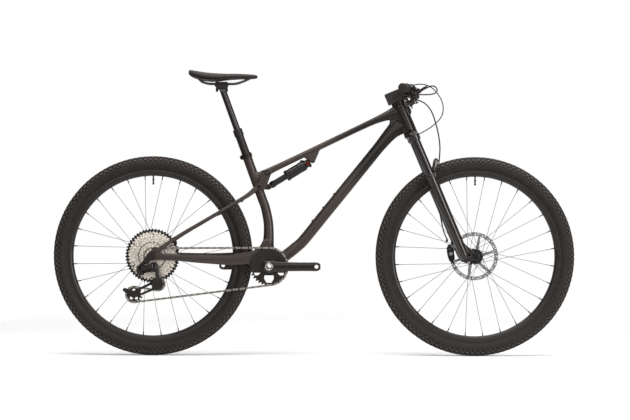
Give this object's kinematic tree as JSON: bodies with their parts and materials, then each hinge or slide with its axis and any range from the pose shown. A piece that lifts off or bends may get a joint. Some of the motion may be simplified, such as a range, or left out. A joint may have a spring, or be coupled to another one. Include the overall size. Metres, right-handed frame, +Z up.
{
  "type": "mountain bike",
  "caption": "Full-suspension mountain bike with telescopic fork, link-driven rear shock, dropper seat post, disc brakes and a single-chainring drive.",
  "frame": {"origin": "on the ground, midway between the two axles, in the bike's middle plane", "axes": "+X forward, +Y to the rider's left, +Z up"},
  "size_m": [1.9324, 0.7596, 1.0589],
  "materials": {
    "frame_paint": "satin",
    "frame_black": "gloss",
    "black_metal": "satin",
    "black_anodised": "satin",
    "steel": "satin",
    "chain_steel": "gloss",
    "tyre": "matte",
    "rubber": "matte",
    "saddle_cover": "satin",
    "black_plastic": "satin"
  },
  "bodies": {
    "frame": {"head_tube": "frame_black", "top_tube": "frame_paint", "down_tube": "frame_paint", "seat_tube": "frame_paint", "bottom_bracket_shell": "frame_paint", "frame_bolts": "black_anodised", "frame_bearings": "black_anodised", "seat_clamp": "black_anodised", "dropper_outer_tube": "black_anodised"},
    "dropper": {"dropper_post": "black_anodised", "saddle_clamp": "black_anodised", "saddle_rails": "black_metal", "saddle": "saddle_cover"},
    "rear_triangle": {"chainstays": "frame_paint", "seatstays": "frame_paint", "chainstay_guard": "rubber", "rear_axle": "black_anodised", "rear_caliper": "black_anodised", "derailleur_base": "black_anodised", "chain": "chain_steel"},
    "rear_wheel": {"rear_tyre": "tyre", "rear_rim": "black_metal", "rear_spokes": "steel", "rear_hub": "black_anodised", "rear_rotor": "steel"},
    "cassette": {"cassette": "chain_steel"},
    "front_wheel": {"front_tyre": "tyre", "front_rim": "black_metal", "front_spokes": "steel", "front_hub": "black_anodised", "front_rotor": "steel"},
    "steering": {"fork_crown": "black_anodised", "fork_stanchions": "black_anodised", "stem": "black_anodised", "handlebar": "black_anodised", "grips": "rubber", "brake_lever_bodies": "black_anodised", "shifter_bodies": "black_plastic", "control_cables": "black_plastic", "front_brake_hose": "black_plastic"},
    "fork_lowers": {"fork_lowers": "black_metal", "front_axle": "black_anodised", "front_caliper": "black_anodised"},
    "crankset": {"right_crank": "black_anodised", "left_crank": "black_anodised", "chainring": "black_anodised"},
    "rocker": {"rocker": "black_metal"},
    "shock_body": {"shock_body": "black_anodised"},
    "shock_shaft": {"shock_shaft": "black_anodised"},
    "right_brake_lever": {"right_brake_lever": "black_anodised"},
    "left_brake_lever": {"left_brake_lever": "black_anodised"},
    "shift_lever": {"shift_lever": "black_plastic"},
    "release_lever": {"release_lever": "black_plastic"},
    "dropper_remote_lever": {"dropper_remote_lever": "black_plastic"},
    "derailleur_outer_link": {"derailleur_outer_link": "black_anodised"},
    "derailleur_inner_link": {"derailleur_inner_link": "black_anodised"},
    "derailleur_knuckle": {"derailleur_knuckle": "black_anodised"},
    "derailleur_cage": {"derailleur_cage": "black_anodised"},
    "guide_pulley": {"guide_pulley": "black_plastic"},
    "tension_pulley": {"tension_pulley": "black_plastic"}
  },
  "joints": [
    {"name": "steering", "type": "hinge", "parent": "frame", "child": "steering", "pos_m": [0.55864, 0, 0.35259], "axis": [-0.3907, 0, 0.9205], "range_deg": [-60, 60]},
    {"name": "fork_travel", "type": "slide", "parent": "steering", "child": "fork_lowers", "axis": [-0.3907, 0, 0.9205], "range_m": [0, 0.12], "stiffness_N_per_m": 6000, "springref_m": -0.03, "deforming": ["front_brake_hose"]},
    {"name": "front_wheel_spin", "type": "hinge", "parent": "fork_lowers", "child": "front_wheel", "pos_m": [0.5973, 0, 0.369], "axis": [0, 1, 0], "continuous": true},
    {"name": "rear_suspension", "type": "hinge", "parent": "frame", "child": "rear_triangle", "pos_m": [-0.176, 0, 0.413], "axis": [0, 1, 0], "range_deg": [0, 13.2], "stiffness_Nm_per_rad": 1500, "springref_deg": -4.58, "deforming": ["chain"]},
    {"name": "rear_wheel_spin", "type": "hinge", "parent": "rear_triangle", "child": "rear_wheel", "pos_m": [-0.5973, 0, 0.369], "axis": [0, 1, 0], "continuous": true},
    {"name": "crank_spin", "type": "hinge", "parent": "frame", "child": "crankset", "pos_m": [-0.1658, 0, 0.3314], "axis": [0, 1, 0], "continuous": true},
    {"name": "cassette_spin", "type": "hinge", "parent": "rear_triangle", "child": "cassette", "pos_m": [-0.5973, 0, 0.369], "axis": [0, 1, 0], "continuous": true},
    {"name": "rocker_turn", "type": "hinge", "parent": "frame", "child": "rocker", "pos_m": [-0.174, 0, 0.6774], "axis": [0, 1, 0], "range_deg": [-51.6, 0]},
    {"name": "shock_tilt", "type": "hinge", "parent": "frame", "child": "shock_body", "pos_m": [-0.0067, 0, 0.7243], "axis": [0, 1, 0], "range_deg": [-2, 2], "stiffness_Nm_per_rad": 20},
    {"name": "shock_stroke", "type": "slide", "parent": "shock_body", "child": "shock_shaft", "axis": [0.8546, 0, 0.5194], "range_m": [0, 0.0452]},
    {"name": "dropper_slide", "type": "slide", "parent": "frame", "child": "dropper", "axis": [0.342, 0, -0.9397], "range_m": [0, 0.13], "stiffness_N_per_m": 100, "springref_m": -0.4},
    {"name": "right_brake", "type": "hinge", "parent": "steering", "child": "right_brake_lever", "pos_m": [0.37321, -0.205, 0.96944], "axis": [0.3907, 0, -0.9205], "range_deg": [0, 20], "stiffness_Nm_per_rad": 0.5, "springref_deg": -11.46},
    {"name": "left_brake", "type": "hinge", "parent": "steering", "child": "left_brake_lever", "pos_m": [0.37321, 0.205, 0.96944], "axis": [-0.3907, 0, 0.9205], "range_deg": [0, 20], "stiffness_Nm_per_rad": 0.5, "springref_deg": -11.46},
    {"name": "shift", "type": "hinge", "parent": "steering", "child": "shift_lever", "pos_m": [0.36278, -0.176, 0.9493], "axis": [0.3907, 0, -0.9205], "range_deg": [0, 35], "stiffness_Nm_per_rad": 0.1, "springref_deg": -17.19},
    {"name": "release", "type": "hinge", "parent": "steering", "child": "release_lever", "pos_m": [0.36278, -0.176, 0.9493], "axis": [0.3907, 0, -0.9205], "range_deg": [0, 20], "stiffness_Nm_per_rad": 0.1, "springref_deg": -17.19},
    {"name": "dropper_remote", "type": "hinge", "parent": "steering", "child": "dropper_remote_lever", "pos_m": [0.36278, 0.176, 0.9493], "axis": [-0.3907, 0, 0.9205], "range_deg": [0, 30], "stiffness_Nm_per_rad": 0.1, "springref_deg": -17.19},
    {"name": "derailleur_shift", "type": "hinge", "parent": "rear_triangle", "child": "derailleur_outer_link", "pos_m": [-0.63439, -0.08704, 0.32223], "axis": [0, 0.6428, 0.766], "range_deg": [-10, 43], "stiffness_Nm_per_rad": 4},
    {"name": "derailleur_inner", "type": "hinge", "parent": "rear_triangle", "child": "derailleur_inner_link", "pos_m": [-0.62961, -0.07696, 0.31377], "axis": [0, 0.6428, 0.766], "range_deg": [-10, 43]},
    {"name": "derailleur_level", "type": "hinge", "parent": "derailleur_outer_link", "child": "derailleur_knuckle", "pos_m": [-0.59211, -0.09883, 0.33212], "axis": [0, 0.6428, 0.766], "range_deg": [-43, 10]},
    {"name": "cage_tension", "type": "hinge", "parent": "derailleur_knuckle", "child": "derailleur_cage", "pos_m": [-0.575, 0, 0.267], "axis": [0, -1, 0], "range_deg": [-10, 55], "stiffness_Nm_per_rad": 2},
    {"name": "guide_pulley_spin", "type": "hinge", "parent": "derailleur_cage", "child": "guide_pulley", "pos_m": [-0.575, 0, 0.267], "axis": [0, 1, 0], "continuous": true},
    {"name": "tension_pulley_spin", "type": "hinge", "parent": "derailleur_cage", "child": "tension_pulley", "pos_m": [-0.663, 0, 0.227], "axis": [0, 1, 0], "continuous": true}
  ],
  "couplings": [
    {"joint": "cassette_spin", "follows": "crank_spin", "ratio": 2.4286},
    {"joint": "guide_pulley_spin", "follows": "crank_spin", "ratio": -2.8333},
    {"joint": "tension_pulley_spin", "follows": "crank_spin", "ratio": 2.4286},
    {"joint": "rocker_turn", "follows": "rear_suspension", "ratio": -3.9},
    {"joint": "shock_stroke", "follows": "rear_suspension", "m_per_rad": 0.19533},
    {"joint": "derailleur_inner", "follows": "derailleur_shift", "ratio": 1},
    {"joint": "derailleur_level", "follows": "derailleur_shift", "ratio": -1}
  ]
}
